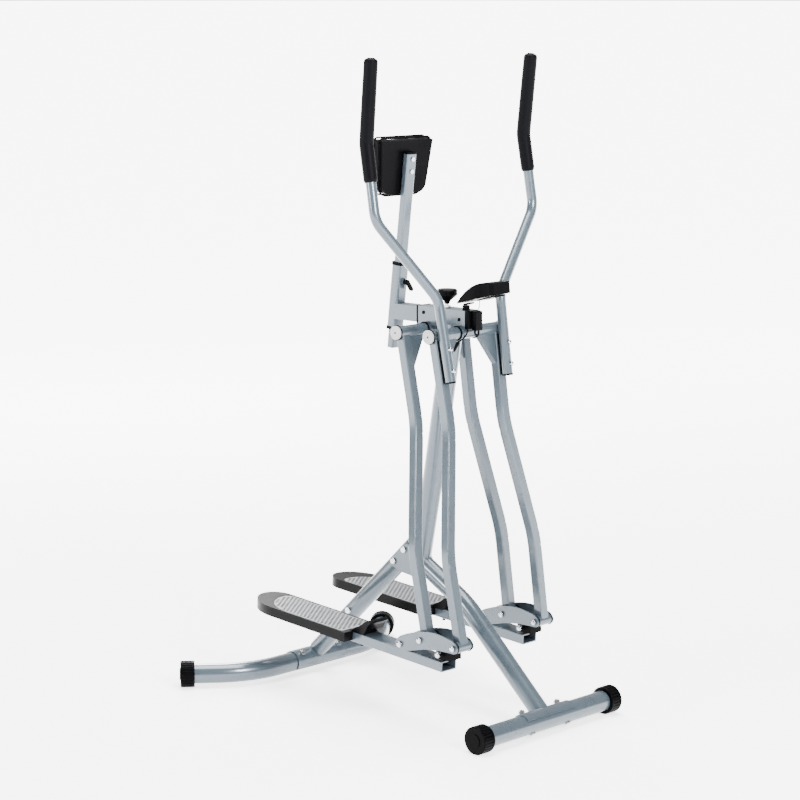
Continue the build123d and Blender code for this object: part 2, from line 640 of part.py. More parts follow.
def link(side):
    turn = math.radians(lean[side])
    y0 = front_pivot_y - arm_len * math.sin(turn)
    z0 = pivot_z - arm_len * math.cos(turn)
    x0 = side * link_x
    bolts_at = [(0, 0), (pivot_gap, 0), lug]
    with BuildPart() as plates:
        for x in (x0 - bar_w / 2 - plate_t / 2 + 0.1, x0 + bar_w / 2 + plate_t / 2 - 0.1):
            with BuildSketch(Plane(origin=(x, y0, z0), x_dir=(0, 1, 0), z_dir=(1, 0, 0))) as lens:
                with BuildLine() as edge:
                    Spline(*plate_edge, periodic=True)
                make_face(edge.edges())
            extrude(lens.sketch, amount=plate_t / 2 - 0.3, both=True)
        for y, z in bolts_at + [clamp_bolt]:
            bar_x(pin_r + 0.3, x0 - 40, x0 + 40, y0 + y, z0 + z, Mode.SUBTRACT)
    save(plates, "link_plates_" + SIDE[side])

    slope = math.radians(bar_slope)
    along = (0, math.cos(slope), math.sin(slope))
    rise = (0, -math.sin(slope), math.cos(slope))
    corner = (x0, y0 + bar_start[0], z0 + bar_start[1])
    flat = Plane(origin=corner, x_dir=along, z_dir=rise)
    with BuildPart() as bar:
        with BuildSketch(Plane(origin=flat.from_local_coords(Vector(0, 0, bar_h / 2)), x_dir=(1, 0, 0), z_dir=along)) as s:
            RectangleRounded(bar_w, bar_h, 2)
        extrude(s.sketch, amount=bar_len)
        bar_x(12.5, x0 - bar_w / 2 + 2.5, x0 + bar_w / 2 - 2.5, y0 + lug[0], z0 + lug[1])
        with BuildSketch(Plane(origin=flat.from_local_coords(Vector(0, 0, bar_h / 2)), x_dir=(1, 0, 0), z_dir=along)) as s:
            RectangleRounded(bar_w - 2 * bar_wall, bar_h - 2 * bar_wall, 1.2)
        extrude(s.sketch, amount=bar_len - 3, mode=Mode.SUBTRACT)
        bar_x(pin_r + 0.3, x0 - 40, x0 + 40, y0 + lug[0], z0 + lug[1], Mode.SUBTRACT)
    save(bar, "pedal_bar_" + SIDE[side])

    with BuildPart() as pins:
        for y, z in bolts_at + [clamp_bolt]:
            half = bar_w / 2 + plate_t + 0.2
            bar_x(pin_r, x0 - half, x0 + half, y0 + y, z0 + z)
            for way in (-1, 1):
                bar_x(7.5, x0 + way * half, x0 + way * (half + 4), y0 + y, z0 + z)
    save(pins, "link_bolts_" + SIDE[side])

    with BuildPart() as block:
        with Locations((x0, y0 + 41, z0 - 26)):
            Box(bar_w - 10, 44, 20)
        bar_x(pin_r + 0.3, x0 - 40, x0 + 40, y0 + clamp_bolt[0], z0 + clamp_bolt[1], Mode.SUBTRACT)
        with Locations(flat.offset(-0.1)):
            with Locations((292, 0, 0)):
                Cylinder(4, 13, align=(Align.CENTER, Align.CENTER, Align.MAX))
    save(block, "link_block_" + SIDE[side])

    middle = side * pedal_in
    outer = middle - side * pedal_w / 2
    inner = middle + side * pedal_w / 2
    with BuildPart() as pedal:
        with BuildSketch(flat.offset(4)) as plan:
            sole(outer, inner, side, pedal_front, 565, 618, pedal_tip - 6, 42)
        extrude(plan.sketch, amount=bar_h - 1)
        toe_at = flat.from_local_coords(Vector(0, middle, 0))
        with BuildSketch(Plane(origin=toe_at, x_dir=along, z_dir=(1, 0, 0))) as toe:
            with BuildLine() as edge:
                Polyline(*toe_edge, close=True)
            make_face(edge.edges())
        extrude(toe.sketch, amount=toe_w / 2, both=True)
        with BuildSketch(flat.offset(bar_h + 0.2)) as seat:
            tread_plan(outer, inner, side, 0.6)
        extrude(seat.sketch, amount=10, mode=Mode.SUBTRACT)
        with BuildSketch(flat) as slot:
            with Locations(((190 + bar_len) / 2, 0)):
                Rectangle(bar_len - 190 + 0.6, bar_w + 0.6)
        extrude(slot.sketch, amount=bar_h + 0.2, mode=Mode.SUBTRACT)
    save(pedal, "pedal_" + SIDE[side])

    with BuildPart() as tread:
        with BuildSketch(flat.offset(bar_h + 0.4)) as seat:
            tread_plan(outer, inner, side, 0)
        extrude(seat.sketch, amount=2.2)
    save(tread, "tread_" + SIDE[side])


for side in SIDE:
    arm("arm_front_" + SIDE[side], side, front_pivot_y, pin_r + run_gap)
    arm("arm_rear_" + SIDE[side], side, rear_pivot_y, pin_r + open_gap)
    handle(side)
    link(side)
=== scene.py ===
import json
import math

import bmesh
import bpy
from mathutils import Matrix, Vector


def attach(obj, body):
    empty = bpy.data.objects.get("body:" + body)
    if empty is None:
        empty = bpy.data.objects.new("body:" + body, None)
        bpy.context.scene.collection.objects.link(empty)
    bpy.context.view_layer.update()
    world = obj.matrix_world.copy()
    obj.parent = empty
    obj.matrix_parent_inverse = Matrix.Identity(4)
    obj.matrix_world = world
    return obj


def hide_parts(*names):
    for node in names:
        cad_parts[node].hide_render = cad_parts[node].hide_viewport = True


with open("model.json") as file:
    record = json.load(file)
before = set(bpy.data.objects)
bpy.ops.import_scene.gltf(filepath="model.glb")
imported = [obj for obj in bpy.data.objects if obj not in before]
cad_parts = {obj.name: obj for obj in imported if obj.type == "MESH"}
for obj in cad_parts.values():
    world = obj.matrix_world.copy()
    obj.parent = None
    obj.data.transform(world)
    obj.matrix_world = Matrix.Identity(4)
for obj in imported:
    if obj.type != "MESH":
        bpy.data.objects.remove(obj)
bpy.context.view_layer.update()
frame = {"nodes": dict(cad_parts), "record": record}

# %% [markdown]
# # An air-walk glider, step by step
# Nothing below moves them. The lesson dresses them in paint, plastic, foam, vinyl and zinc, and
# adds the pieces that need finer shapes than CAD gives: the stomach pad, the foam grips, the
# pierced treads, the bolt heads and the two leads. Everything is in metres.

nodes = frame["nodes"]
SIDES = {-1: "right", 1: "left"}

# %% [markdown]
# ## Where the arms hang
# Both arms of a side hang from the head at one angle, so a point on an arm is easiest to give as
# three numbers: across the machine, down the arm, and behind the arm's axis. The same goes for the
# pedal bar, which rises a little towards the heel. Two small functions turn such points into places.

# %% The arm's and the bar's own directions
PIVOT = Vector((0.0, -0.1855, 0.934))
ARM_LENGTH = 0.729
ARM_GAP = 0.108
LEAN = {-1: math.radians(12.1), 1: math.radians(8.0)}
LINK_X = 0.172
BAR_START = Vector((0.0, 0.041, -0.066))
BAR_RISE = math.radians(3.5)
BAR_HEIGHT = 0.025


def arm_point(side, across, down, behind=0.0):
    turn = LEAN[side]
    along = Vector((0, -math.sin(turn), -math.cos(turn)))
    back = Vector((0, math.cos(turn), -math.sin(turn)))
    return PIVOT + Vector((across, 0, 0)) + along * down + back * behind


def link_origin(side):
    low = arm_point(side, 0, ARM_LENGTH)
    low.x = side * LINK_X
    return low


def bar_matrix(side):
    """Local x runs from the bar's front towards the heel, y across, z up."""
    along = Vector((0, math.cos(BAR_RISE), math.sin(BAR_RISE)))
    rise = Vector((0, -math.sin(BAR_RISE), math.cos(BAR_RISE)))
    across = rise.cross(along)
    turn = Matrix((along, across, rise)).transposed().to_4x4()
    return Matrix.Translation(link_origin(side) + BAR_START) @ turn


print("Front pivots", link_origin(-1), link_origin(1))

# %% [markdown]
# ## Making and finishing a mesh
# Every new piece is a mesh whose points already lie where the piece belongs. The object itself stays
# at the origin, unturned and unscaled, so a pattern that reads Object coordinates sits still.

# %% Mesh helpers


def add_mesh(name, points, faces, smooth=True):
    mesh = bpy.data.meshes.new(name)
    mesh.from_pydata([tuple(point) for point in points], [], faces)
    mesh.validate()
    return add_object(name, mesh, smooth)


def add_object(name, mesh, smooth=True):
    shape = bmesh.new()
    shape.from_mesh(mesh)
    bmesh.ops.remove_doubles(shape, verts=shape.verts, dist=1e-6)
    bmesh.ops.recalc_face_normals(shape, faces=shape.faces)
    shape.to_mesh(mesh)
    shape.free()
    piece = bpy.data.objects.new(name, mesh)
    bpy.context.collection.objects.link(piece)
    for face in mesh.polygons:
        face.use_smooth = smooth
    return piece


def settle(piece):
    """Turn what the modifiers make of a piece into a plain mesh, and drop the modifiers."""
    depsgraph = bpy.context.evaluated_depsgraph_get()
    made = bpy.data.meshes.new_from_object(piece.evaluated_get(depsgraph))
    piece.modifiers.clear()
    piece.data = made
    return piece


def sharp_by_angle(piece, degrees=35):
    """Smooth the soft bends of a mesh and keep its corners crisp."""
    piece.data.shade_smooth()
    piece.data.set_sharp_from_angle(angle=math.radians(degrees))
    return piece


def add_subdivision(piece, levels):
    subdivision = piece.modifiers.new("Smooth surface", "SUBSURF")
    subdivision.levels = levels
    subdivision.render_levels = levels
    return piece


def lathe(profile, segments=32):
    """Points and faces of a profile of (radius, height) pairs turned about local z."""
    points, faces = [], []
    for radius, height in profile:
        for step in range(segments):
            angle = 2 * math.pi * step / segments
            points.append(Vector((radius * math.cos(angle), radius * math.sin(angle), height)))
    for ring in range(len(profile) - 1):
        for step in range(segments):
            following = (step + 1) % segments
            low, high = ring * segments, (ring + 1) * segments
            faces.append((low + step, low + following, high + following, high + step))
    faces.append(tuple(reversed(range(segments))))
    faces.append(tuple(range((len(profile) - 1) * segments, len(profile) * segments)))
    return points, faces


# %% [markdown]
# ## Shader groups
# A real surface is never one flat colour. Powder paint is faintly mottled, moulded plastic has a fine
# grain, and all of them gather a little dust. One node group makes the mottle and the grain, and each
# material uses it with its own sizes. The group hands out masks and heights only, so the Principled
# shader itself stays in the material.

# %% The surface group


def new_group(name, inputs, outputs):
    group = bpy.data.node_groups.new(name, "ShaderNodeTree")
    for label, kind, value in inputs:
        socket = group.interface.new_socket(name=label, in_out="INPUT", socket_type=kind)
        socket.default_value = value
    for label, kind in outputs:
        group.interface.new_socket(name=label, in_out="OUTPUT", socket_type=kind)
    return group, group.nodes.new("NodeGroupInput"), group.nodes.new("NodeGroupOutput")


def noise_in(tree, vector, scale, detail, roughness=0.5):
    noise = tree.nodes.new("ShaderNodeTexNoise")
    noise.inputs["Detail"].default_value = detail
    noise.inputs["Roughness"].default_value = roughness
    tree.links.new(vector, noise.inputs["Vector"])
    if isinstance(scale, (int, float)):
        noise.inputs["Scale"].default_value = scale
    else:
        tree.links.new(scale, noise.inputs["Scale"])
    return noise.outputs["Fac"]


surface_group, group_in, group_out = new_group(
    "Mottle and grain",
    [("Mottle size", "NodeSocketFloat", 30.0), ("Grain size", "NodeSocketFloat", 900.0),
     ("Grain share", "NodeSocketFloat", 0.3)],
    [("Mask", "NodeSocketFloat"), ("Height", "NodeSocketFloat")],
)
place = surface_group.nodes.new("ShaderNodeTexCoord")
mottle = noise_in(surface_group, place.outputs["Object"], group_in.outputs["Mottle size"], 3.0)
grain = noise_in(surface_group, place.outputs["Object"], group_in.outputs["Grain size"], 2.0)
blend = surface_group.nodes.new("ShaderNodeMix")
surface_group.links.new(group_in.outputs["Grain share"], blend.inputs["Factor"])
surface_group.links.new(mottle, blend.inputs["A"])
surface_group.links.new(grain, blend.inputs["B"])
surface_group.links.new(blend.outputs["Result"], group_out.inputs["Mask"])
surface_group.links.new(grain, group_out.inputs["Height"])

# %% [markdown]
# The pad's vinyl has a leather-like grain of small rounded cells. Voronoi cells give that look, and
# a little noise bends their borders so that no two cells match.

# %% The leather grain group
leather_group, group_in, group_out = new_group(
    "Leather grain",
    [("Cell size", "NodeSocketFloat", 700.0)],
    [("Height", "NodeSocketFloat"), ("Mask", "NodeSocketFloat")],
)
place = leather_group.nodes.new("ShaderNodeTexCoord")
wander = leather_group.nodes.new("ShaderNodeTexNoise")
wander.inputs["Scale"].default_value = 300.0
leather_group.links.new(place.outputs["Object"], wander.inputs["Vector"])
shifted = leather_group.nodes.new("ShaderNodeVectorMath")
shifted.operation = "MULTIPLY_ADD"
shifted.inputs[1].default_value = (0.0012, 0.0012, 0.0012)
leather_group.links.new(wander.outputs["Color"], shifted.inputs[0])
leather_group.links.new(place.outputs["Object"], shifted.inputs[2])
cells = leather_group.nodes.new("ShaderNodeTexVoronoi")
cells.feature = "SMOOTH_F1"
leather_group.links.new(group_in.outputs["Cell size"], cells.inputs["Scale"])
leather_group.links.new(shifted.outputs["Vector"], cells.inputs["Vector"])
leather_group.links.new(cells.outputs["Distance"], group_out.inputs["Height"])
leather_group.links.new(wander.outputs["Fac"], group_out.inputs["Mask"])

# %% [markdown]
# ## Materials
# One function builds every paint and plastic: two close colours mixed by the mask, a roughness that
# follows the same mask, and a bump from the grain's height. Values that are the same all over, such
# as the metallic share and the coat, go straight on the shader's own sockets.

# %% The material builder


def add_node(tree, kind, **values):
    node = tree.nodes.new(kind)
    for key, value in values.items():
        setattr(node, key, value)
    return node


def use_group(tree, group, **sizes):
    node = tree.nodes.new("ShaderNodeGroup")
    node.node_tree = group
    for key, value in sizes.items():
        node.inputs[key.replace("_", " ").capitalize()].default_value = value
    return node


def surface(name, dark, light, rough, metallic=0.0, coat=0.0, bump=0.1, bump_depth=0.0002, group=None,
            coat_rough=0.1, specular=0.5, **sizes):
    material = bpy.data.materials.new(name)
    material.use_nodes = True
    tree = material.node_tree
    shader = tree.nodes["Principled BSDF"]
    shader.inputs["Metallic"].default_value = metallic
    shader.inputs["Coat Weight"].default_value = coat
    shader.inputs["Coat Roughness"].default_value = coat_rough
    shader.inputs["Specular IOR Level"].default_value = specular
    pattern = use_group(tree, group or surface_group, **sizes)
    colour = add_node(tree, "ShaderNodeMix", data_type="RGBA")
    colour.inputs["A"].default_value = (*dark, 1)
    colour.inputs["B"].default_value = (*light, 1)
    tree.links.new(pattern.outputs["Mask"], colour.inputs["Factor"])
    tree.links.new(colour.outputs["Result"], shader.inputs["Base Color"])
    dull = add_node(tree, "ShaderNodeMapRange")
    dull.inputs["To Min"].default_value = rough[0]
    dull.inputs["To Max"].default_value = rough[1]
    tree.links.new(pattern.outputs["Mask"], dull.inputs["Value"])
    tree.links.new(dull.outputs["Result"], shader.inputs["Roughness"])
    relief = add_node(tree, "ShaderNodeBump")
    relief.inputs["Strength"].default_value = bump
    relief.inputs["Distance"].default_value = bump_depth
    tree.links.new(pattern.outputs["Height"], relief.inputs["Height"])
    tree.links.new(relief.outputs["Normal"], shader.inputs["Normal"])
    return material


# %% The finishes of this machine
FINISH = {
    "frame_paint": surface("Silver blue paint", (0.040, 0.056, 0.070), (0.058, 0.078, 0.096), (0.22, 0.34),
                           metallic=0.40, coat=0.45, coat_rough=0.12, bump=0.10, mottle_size=9.0,
                           grain_size=1400.0),
    "black_plastic": surface("Black moulded plastic", (0.0006, 0.0006, 0.0008), (0.0016, 0.0016, 0.002),
                             (0.22, 0.40), specular=0.02, bump=0.2, mottle_size=40.0, grain_size=1800.0),
    "pedal_plastic": surface("Dark pedal plastic", (0.0006, 0.0006, 0.0008), (0.0020, 0.0020, 0.0024),
                             (0.22, 0.40), specular=0.05, bump=0.25, mottle_size=30.0, grain_size=1500.0),
    "tread_plate": surface("Pale tread plate", (0.13, 0.135, 0.143), (0.18, 0.185, 0.195), (0.3, 0.5),
                           metallic=0.3, bump=0.15, mottle_size=25.0, grain_size=1200.0),
    "grip_foam": surface("Black grip foam", (0.0008, 0.0008, 0.0012), (0.0022, 0.0022, 0.003), (0.40, 0.55),
                         specular=0.03, bump=0.3, bump_depth=0.0002, mottle_size=60.0, grain_size=2600.0),
    "fastener": surface("Bright zinc", (0.30, 0.31, 0.32), (0.55, 0.56, 0.58), (0.08, 0.22),
                        metallic=1.0, bump=0.05, mottle_size=90.0, grain_size=1500.0),
    "pivot_white": surface("White pivot plastic", (0.27, 0.28, 0.28), (0.33, 0.33, 0.33), (0.2, 0.35),
                           bump=0.05, mottle_size=40.0, grain_size=900.0),
    "pad_vinyl": surface("Black pad vinyl", (0.0006, 0.0006, 0.0009), (0.0018, 0.0018, 0.0022), (0.25, 0.38),
                         specular=0.03, group=leather_group, bump=0.35, bump_depth=0.0004, cell_size=650.0),
    "screen_window": surface("Screen window", (0.03, 0.036, 0.033), (0.045, 0.052, 0.048), (0.08, 0.14),
                             coat=0.3, bump=0.02, mottle_size=12.0, grain_size=300.0),
    "button_grey": surface("Grey button", (0.045, 0.047, 0.05), (0.06, 0.062, 0.066), (0.4, 0.5),
                           specular=0.3, bump=0.2, mottle_size=50.0, grain_size=1500.0),
    "cord_black": surface("Black cord", (0.0006, 0.0006, 0.0006), (0.0018, 0.0018, 0.0018), (0.35, 0.5),
                          specular=0.02, bump=0.2, mottle_size=80.0, grain_size=2000.0),
}
for row in frame["record"]["subparts"]:
    mesh = nodes[row["node"]].data
    mesh.materials.clear()
    mesh.materials.append(FINISH[row["material_slot"]])
print(len(nodes), "CAD nodes painted with", len(FINISH), "finishes")


def finish_piece(piece, slot, body, *replaced):
    """Give a new piece its finish, its body and the CAD nodes that it stands for."""
    if not piece.data.materials:
        piece.data.materials.append(FINISH[slot])
    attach(piece, body)
    if replaced:
        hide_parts(*replaced)
    return piece


# %% [markdown]
# ## Foam grips
# The grip is a foam tube pushed over the handle. It follows the handle's bend, is a little fuller in
# the middle, and closes over the tube's end in a shallow dome. A ring of points is carried along the
# bent path, and the radius changes from ring to ring.

# %% Sweep rings along a path


def rounded_path(corners, radius, steps=10):
    """The corners joined by straight runs, each inner corner replaced by an arc of this radius."""
    places = [corners[0]]
    for before, corner, after in zip(corners, corners[1:], corners[2:]):
        to_before = (before - corner).normalized()
        to_after = (after - corner).normalized()
        half = to_before.angle(to_after) / 2
        reach = radius / math.tan(half)
        centre = corner + (to_before + to_after).normalized() * (radius / math.sin(half))
        start = corner + to_before * reach - centre
        end = corner + to_after * reach - centre
        sweep = start.angle(end)
        for step in range(steps + 1):
            share = step / steps
            turned = (start * math.sin((1 - share) * sweep) + end * math.sin(share * sweep)) / math.sin(sweep)
            places.append(centre + turned)
    places.append(corners[-1])
    return places


def evenly(places, gap):
    """Points a steady distance apart along a run of places."""
    result = [places[0]]
    carried = 0.0
    for a, b in zip(places, places[1:]):
        span = (b - a).length
        while carried + span >= gap:
            a = a + (b - a).normalized() * (gap - carried)
            result.append(a.copy())
            span = (b - a).length
            carried = 0.0
        carried += span
    if (result[-1] - places[-1]).length > gap * 0.3:
        result.append(places[-1])
    return result


def sweep_rings(name, places, radii, segments=32):
    """A closed tube: one ring of points at each place, with its own radius."""
    points, faces = [], []
    side_way = Vector((1, 0, 0))
    for index, place in enumerate(places):
        ahead = (places[min(index + 1, len(places) - 1)] - places[max(index - 1, 0)]).normalized()
        side_way = (side_way - ahead * side_way.dot(ahead)).normalized()
        up_way = ahead.cross(side_way)
        for step in range(segments):
            angle = 2 * math.pi * step / segments
            points.append(place + (side_way * math.cos(angle) + up_way * math.sin(angle)) * radii[index])
    for ring in range(len(places) - 1):
        for step in range(segments):
            following = (step + 1) % segments
            low, high = ring * segments, (ring + 1) * segments
            faces.append((low + step, low + following, high + following, high + step))
    last = (len(places) - 1) * segments
    faces.append(tuple(reversed(range(segments))))
    faces.append(tuple(range(last, last + segments)))
    return add_mesh(name, points, faces)


# %% The two grips
GRIP_RADIUS = 0.017
GRIP_BULGE = 0.0006
GRIP_BEND = 0.060
GRIP_STEP = 0.004
HANDLE_PATH = [(0.262, -0.281, -0.019), (0.253, -0.462, -0.019), (0.249, -0.653, -0.072)]


def grip(side):
    corners = [arm_point(side, side * across, down, behind) for across, down, behind in HANDLE_PATH]
    corners[0] = corners[0].lerp(corners[1], 0.5)
    places = evenly(rounded_path(corners, GRIP_BEND), GRIP_STEP)
    total = len(places) - 1
    radii = []
    for index in range(len(places)):
        from_low = index * GRIP_STEP
        from_top = (total - index) * GRIP_STEP
        radius = GRIP_RADIUS - GRIP_BULGE + GRIP_BULGE * math.sin(math.pi * index / total)
        radius -= 0.003 * max(0.0, 1 - from_low / 0.006) ** 2
        top_share = min(1.0, from_top / 0.010)
        radius *= 0.45 + 0.55 * math.sqrt(1 - (1 - top_share) ** 2)
        radii.append(radius)
    piece = sweep_rings("foam_grip_" + SIDES[side], places, radii)
    return finish_piece(piece, "grip_foam", "swing_" + SIDES[side], "grip_" + SIDES[side])


grips = [grip(side) for side in (-1, 1)]
print("Grip points", len(grips[0].data.vertices))

# %% [markdown]
# ## Pierced treads
# The tread is a thin plate pierced by staggered round holes. Cutting hundreds of holes with booleans
# is slow and untidy. Geometry Nodes does it flat: a circle is laid on every hole's centre, the
# outline is added, and one Fill Curve node makes the sheet between them, holes and all. Extruding
# that flat sheet gives the plate its thickness and every hole its wall. A black sheet just beneath
# keeps the holes dark, as the pedal's inside does.

# %% Geometry Nodes helpers


def new_tree(name, inputs):
    tree = bpy.data.node_groups.new(name, "GeometryNodeTree")
    tree.interface.new_socket(name="Geometry", in_out="INPUT", socket_type="NodeSocketGeometry")
    for label, kind in inputs:
        tree.interface.new_socket(name=label, in_out="INPUT", socket_type=kind)
    tree.interface.new_socket(name="Geometry", in_out="OUTPUT", socket_type="NodeSocketGeometry")
    return tree, tree.nodes.new("NodeGroupInput"), tree.nodes.new("NodeGroupOutput")


def run_tree(piece, tree, values):
    """Give a piece a Geometry Nodes modifier with these input values, and apply its result."""
    modifier = piece.modifiers.new(tree.name, "NODES")
    modifier.node_group = tree
    for item in tree.interface.items_tree:
        if item.in_out == "INPUT" and item.name in values:
            modifier[item.identifier] = values[item.name]
    return settle(piece)


# %% The pierced sheet
pierced, pierced_in, pierced_out = new_tree(
    "Pierced sheet",
    [("Hole radius", "NodeSocketFloat"), ("Thickness", "NodeSocketFloat"),
     ("Material", "NodeSocketMaterial")],
)


def link(tree, source, node, socket):
    tree.links.new(source, node.inputs[socket])
    return node


outline = link(pierced, pierced_in.outputs["Geometry"], pierced.nodes.new("GeometryNodeMeshToCurve"), "Mesh")
edges_here = pierced.nodes.new("GeometryNodeInputMeshVertexNeighbors")
lone = pierced.nodes.new("FunctionNodeCompare")
lone.data_type = "INT"
lone.operation = "EQUAL"
pierced.links.new(edges_here.outputs["Vertex Count"], lone.inputs[2])
lone.inputs[3].default_value = 0
hole = pierced.nodes.new("GeometryNodeCurvePrimitiveCircle")
hole.inputs["Resolution"].default_value = 12
link(pierced, pierced_in.outputs["Hole radius"], hole, "Radius")
holes = link(pierced, pierced_in.outputs["Geometry"],
             pierced.nodes.new("GeometryNodeInstanceOnPoints"), "Points")
link(pierced, lone.outputs["Result"], holes, "Selection")
link(pierced, hole.outputs["Curve"], holes, "Instance")
real_holes = link(pierced, holes.outputs["Instances"],
                  pierced.nodes.new("GeometryNodeRealizeInstances"), "Geometry")
together = link(pierced, outline.outputs["Curve"], pierced.nodes.new("GeometryNodeJoinGeometry"), "Geometry")
link(pierced, real_holes.outputs["Geometry"], together, "Geometry")
filled = link(pierced, together.outputs["Geometry"], pierced.nodes.new("GeometryNodeFillCurve"), "Curve")
up = pierced.nodes.new("ShaderNodeCombineXYZ")
link(pierced, pierced_in.outputs["Thickness"], up, "Z")
raised = link(pierced, filled.outputs["Mesh"], pierced.nodes.new("GeometryNodeExtrudeMesh"), "Mesh")
raised.inputs["Individual"].default_value = False
link(pierced, up.outputs[0], raised, "Offset")
closed = link(pierced, raised.outputs["Mesh"], pierced.nodes.new("GeometryNodeJoinGeometry"), "Geometry")
link(pierced, filled.outputs["Mesh"], closed, "Geometry")
solid = link(pierced, closed.outputs["Geometry"],
             pierced.nodes.new("GeometryNodeRealizeInstances"), "Geometry")
coated = link(pierced, solid.outputs["Geometry"], pierced.nodes.new("GeometryNodeSetMaterial"), "Geometry")
link(pierced, pierced_in.outputs["Material"], coated, "Material")
pierced.links.new(coated.outputs["Geometry"], pierced_out.inputs["Geometry"])

# %% [markdown]
# The tread's outline is a box at the toe and a lopsided round at the heel, like the sole of a shoe.
# Two quarter ellipses draw the heel. Hole centres are kept where they lie a little
# way inside that outline, which is tested with the usual crossing-number rule.

# %% The tread's outline and hole centres
PEDAL_WIDTH, PEDAL_IN = 0.116, 0.004
HOLE_RADIUS, HOLE_PITCH, HOLE_ROW = 0.0042, 0.0125, 0.0088
FIRST_HOLE = 0.3262
HOLE_ROWS, HOLE_COLUMNS = range(-6, 7), range(26)
HOLE_MARGIN = 0.0056
TREAD_THICK = 0.0020
TREAD_LIFT = 0.0006
TREAD_BORDER = 0.0065
TREAD_FRONT, TREAD_TIP = 0.3168, 0.616
TREAD_CORNER = 0.0045
HEEL_PEAK_IN = 0.020
INNER_HEEL_START, OUTER_HEEL_START = 0.592, 0.516
UNDERLAY_DROP = 0.0001


def tread_outline(side, shrink=0.0):
    """Local points round the tread; the inner side of the pedal reaches further back."""
    middle = side * PEDAL_IN
    low = middle - side * (PEDAL_WIDTH / 2 - TREAD_BORDER - shrink)
    high = middle + side * (PEDAL_WIDTH / 2 - TREAD_BORDER - shrink)
    front, tip = TREAD_FRONT + shrink, TREAD_TIP - shrink
    peak = high - side * HEEL_PEAK_IN
    turns = [math.radians(9 * step) for step in range(11)]
    corner = TREAD_CORNER
    points = [Vector((front + corner * (1 - math.sin(turn)), high - side * corner * (1 - math.cos(turn)), 0))
              for turn in reversed(turns)]
    for edge, start, quarter in ((high, INNER_HEEL_START, turns), (low, OUTER_HEEL_START, turns[-2::-1])):
        points += [Vector((start + (tip - start) * math.sin(turn), peak + (edge - peak) * math.cos(turn), 0))
                   for turn in quarter]
    points += [Vector((front + corner * (1 - math.sin(turn)), low + side * corner * (1 - math.cos(turn)), 0))
               for turn in turns]
    return points


def inside(point, outline):
    """Whether a point lies within an outline, by counting the edges to its right."""
    crossings = False
    for a, b in zip(outline, outline[1:] + outline[:1]):
        if (a.y > point.y) != (b.y > point.y):
            if point.x < a.x + (point.y - a.y) * (b.x - a.x) / (b.y - a.y):
                crossings = not crossings
    return crossings


# %% The two treads
def tread(side):
    name = SIDES[side]
    matrix = bar_matrix(side)
    outline = tread_outline(side)
    allowed = tread_outline(side, shrink=HOLE_MARGIN)
    centres = []
    for row in HOLE_ROWS:
        for column in HOLE_COLUMNS:
            centre = Vector((FIRST_HOLE + HOLE_PITCH * (column + 0.5 * (row % 2)),
                             side * PEDAL_IN + HOLE_ROW * row, 0))
            if inside(centre, allowed):
                centres.append(centre)
    shape = bpy.data.meshes.new("tread_plate_" + name)
    count = len(outline)
    shape.from_pydata(outline + centres, [(index, (index + 1) % count) for index in range(count)], [])
    plate = bpy.data.objects.new("tread_plate_" + name, shape)
    bpy.context.collection.objects.link(plate)
    run_tree(plate, pierced, {
        "Hole radius": HOLE_RADIUS, "Thickness": TREAD_THICK, "Material": FINISH["tread_plate"],
    })
    low = Matrix.Translation(Vector((0, 0, BAR_HEIGHT + TREAD_LIFT)))
    shape = bmesh.new()
    shape.from_mesh(plate.data)
    bmesh.ops.remove_doubles(shape, verts=shape.verts, dist=1e-6)
    bmesh.ops.recalc_face_normals(shape, faces=shape.faces)
    shape.to_mesh(plate.data)
    shape.free()
    plate.data.transform(matrix @ low)
    under = add_mesh("tread_underlay_" + name, [point + Vector((0, 0, -UNDERLAY_DROP)) for point in allowed],
                     [tuple(range(len(allowed)))], smooth=False)
    under.data.transform(matrix @ low)
    finish_piece(plate, "tread_plate", "link_" + name, "tread_" + name)
    finish_piece(under, "cord_black", "link_" + name)
    return len(centres)


print("Tread holes", tread(-1), tread(1))

# %% [markdown]
# ## Slots in the pedal bars
# A row of short slots runs along the top of each bar's front. Each slot is drawn as a flat black capsule
# laid flush on the steel: painted shade for the dark inside of the open slot. The row is another job for
# Geometry Nodes: a line of points, and a capsule on each.

# %% The row of slots
slots, slots_in, slots_out = new_tree(
    "Row of slots",
    [("Count", "NodeSocketInt"), ("Gap", "NodeSocketFloat"), ("Material", "NodeSocketMaterial")],
)
line = slots.nodes.new("GeometryNodeMeshLine")
line.mode = "OFFSET"
link(slots, slots_in.outputs["Count"], line, "Count")
step_along = slots.nodes.new("ShaderNodeCombineXYZ")
link(slots, slots_in.outputs["Gap"], step_along, "X")
link(slots, step_along.outputs[0], line, "Offset")
row = link(slots, line.outputs["Mesh"], slots.nodes.new("GeometryNodeInstanceOnPoints"), "Points")
link(slots, slots_in.outputs["Geometry"], row, "Instance")
row_real = link(slots, row.outputs["Instances"], slots.nodes.new("GeometryNodeRealizeInstances"), "Geometry")
# Painted shade: the capsules are made black so that each slot reads as dark inside.
row_painted_shade = link(slots, row_real.outputs["Geometry"], slots.nodes.new("GeometryNodeSetMaterial"), "Geometry")
link(slots, slots_in.outputs["Material"], row_painted_shade, "Material")
slots.links.new(row_painted_shade.outputs["Geometry"], slots_out.inputs["Geometry"])


def rounded_rectangle(length, width, radius, z, steps=5):
    points = []
    for x, y, start in ((1, 1, 0), (-1, 1, 90), (-1, -1, 180), (1, -1, 270)):
        for step in range(steps + 1):
            angle = math.radians(start + 90 * step / steps)
            points.append(Vector((x * (length / 2 - radius) + radius * math.cos(angle),
                                  y * (width / 2 - radius) + radius * math.sin(angle), z)))
    return points


